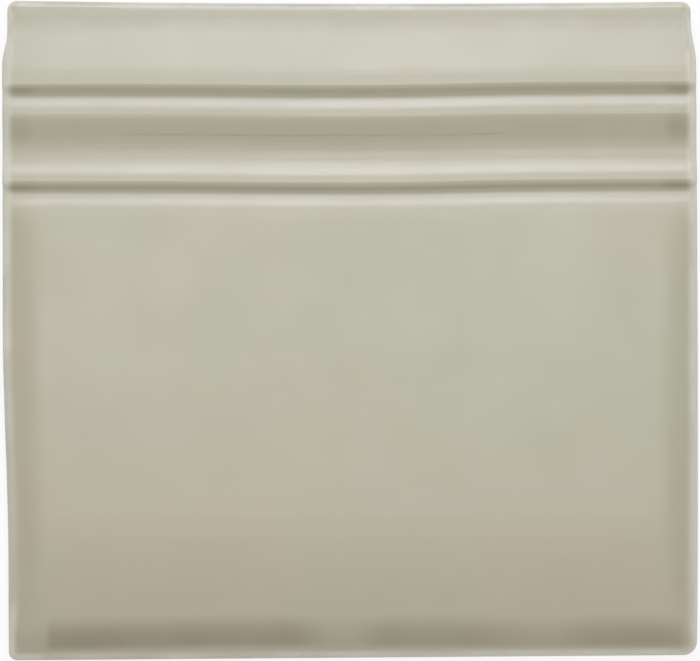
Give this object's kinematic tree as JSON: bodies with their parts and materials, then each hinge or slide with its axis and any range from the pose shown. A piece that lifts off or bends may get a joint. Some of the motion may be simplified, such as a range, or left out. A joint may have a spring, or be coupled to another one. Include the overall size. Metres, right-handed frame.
{
  "type": "ceramic baseboard tile",
  "caption": "Glazed ceramic baseboard tile: a flat field below a moulded cap with quirks, cove and bead, bonded to a wall at floor level.",
  "frame": {"origin": "middle of the back face, which lies on the floor", "axes": "+X along the moulding, +Y towards the cap's top edge, +Z out of the glazed face"},
  "size_m": [0.148, 0.1406, 0.0116],
  "materials": {
    "glaze": "glossy warm stone-grey glaze on a pale bisque body, bare on the back"
  },
  "bodies": {
    "root": {"baseboard_tile": "glaze"}
  },
  "joints": []
}
